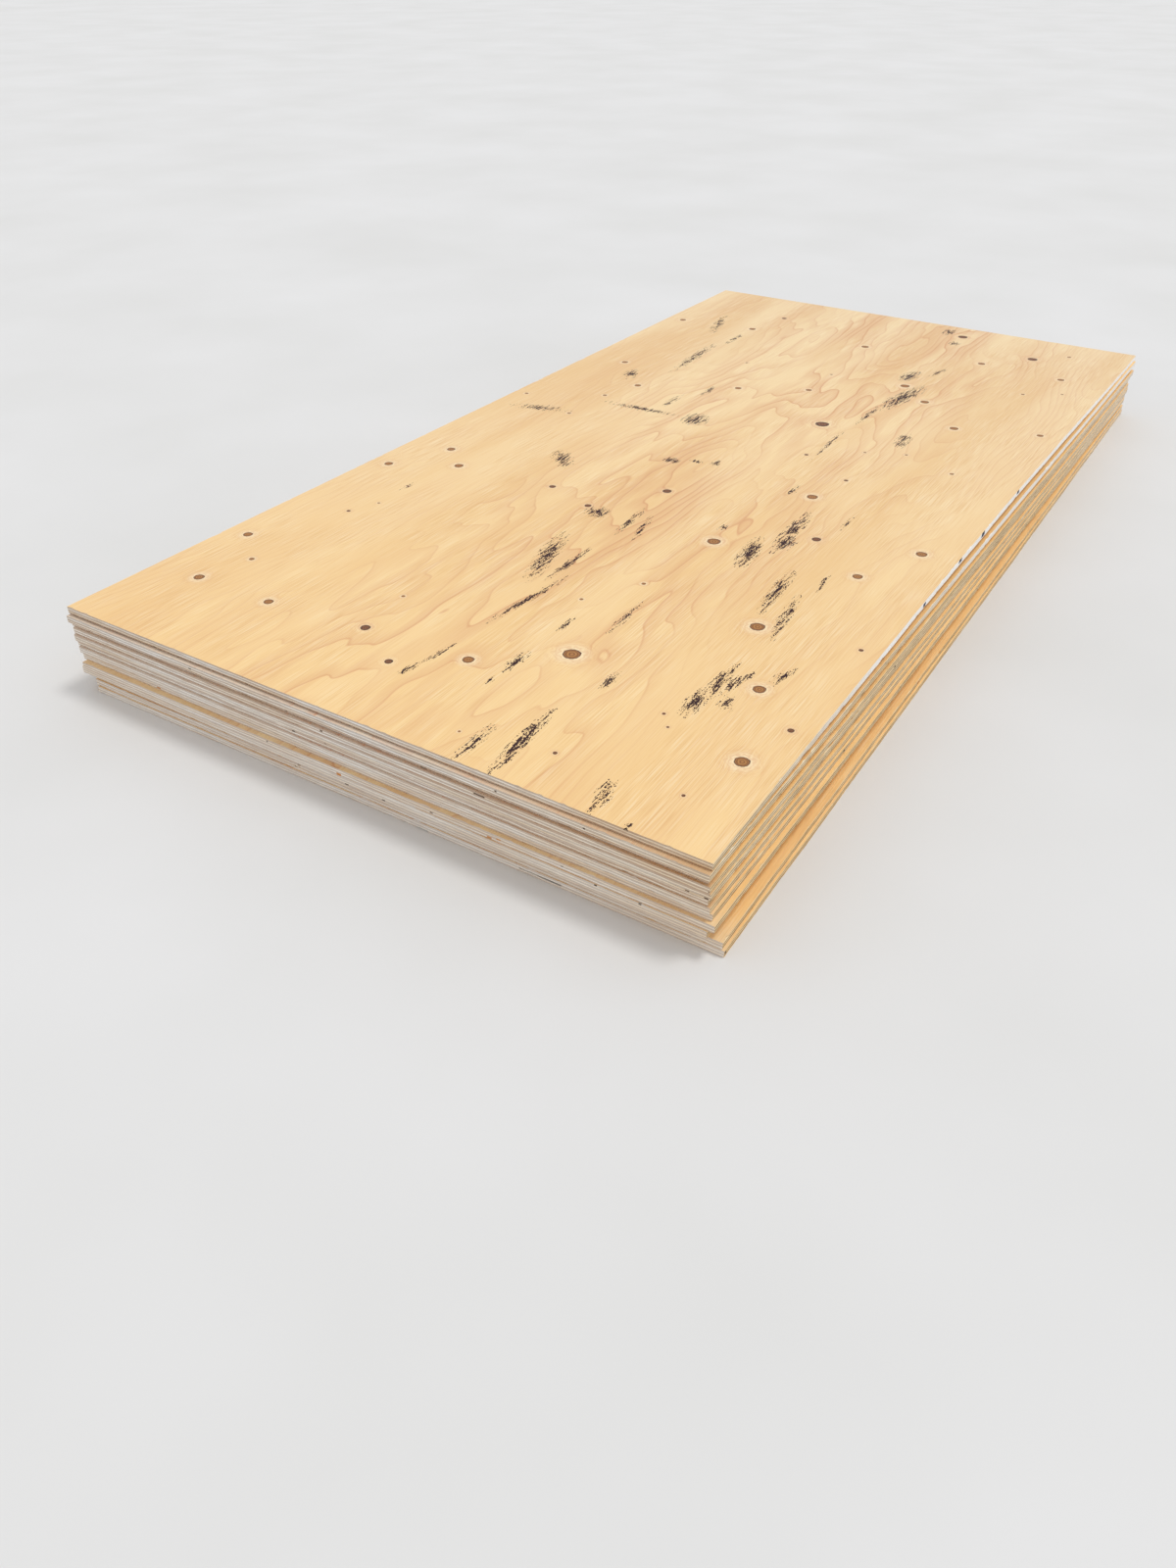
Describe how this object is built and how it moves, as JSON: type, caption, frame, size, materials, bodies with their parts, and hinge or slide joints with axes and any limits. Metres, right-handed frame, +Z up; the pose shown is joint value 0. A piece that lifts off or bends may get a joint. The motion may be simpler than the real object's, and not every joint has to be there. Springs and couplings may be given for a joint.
{
  "type": "stack of plywood sheets",
  "caption": "Stack of full-size five-ply softwood plywood sheets lying flat on one another, edges slightly out of line, the top sheet arched along one long side.",
  "frame": {"origin": "on the floor, under the middle of the whole stack", "axes": "+X along the sheets' length, +Y across their width, +Z up"},
  "size_m": [2.419, 1.2274, 0.1758],
  "materials": {
    "plywood": "raw sanded softwood veneer"
  },
  "bodies": {
    "root": {"sheet_01": "plywood", "sheet_02": "plywood", "sheet_03": "plywood", "sheet_04": "plywood", "sheet_05": "plywood", "sheet_06": "plywood", "sheet_07": "plywood", "sheet_08": "plywood", "sheet_09": "plywood", "sheet_10": "plywood", "sheet_11": "plywood", "sheet_12": "plywood", "sheet_13": "plywood"}
  },
  "joints": []
}
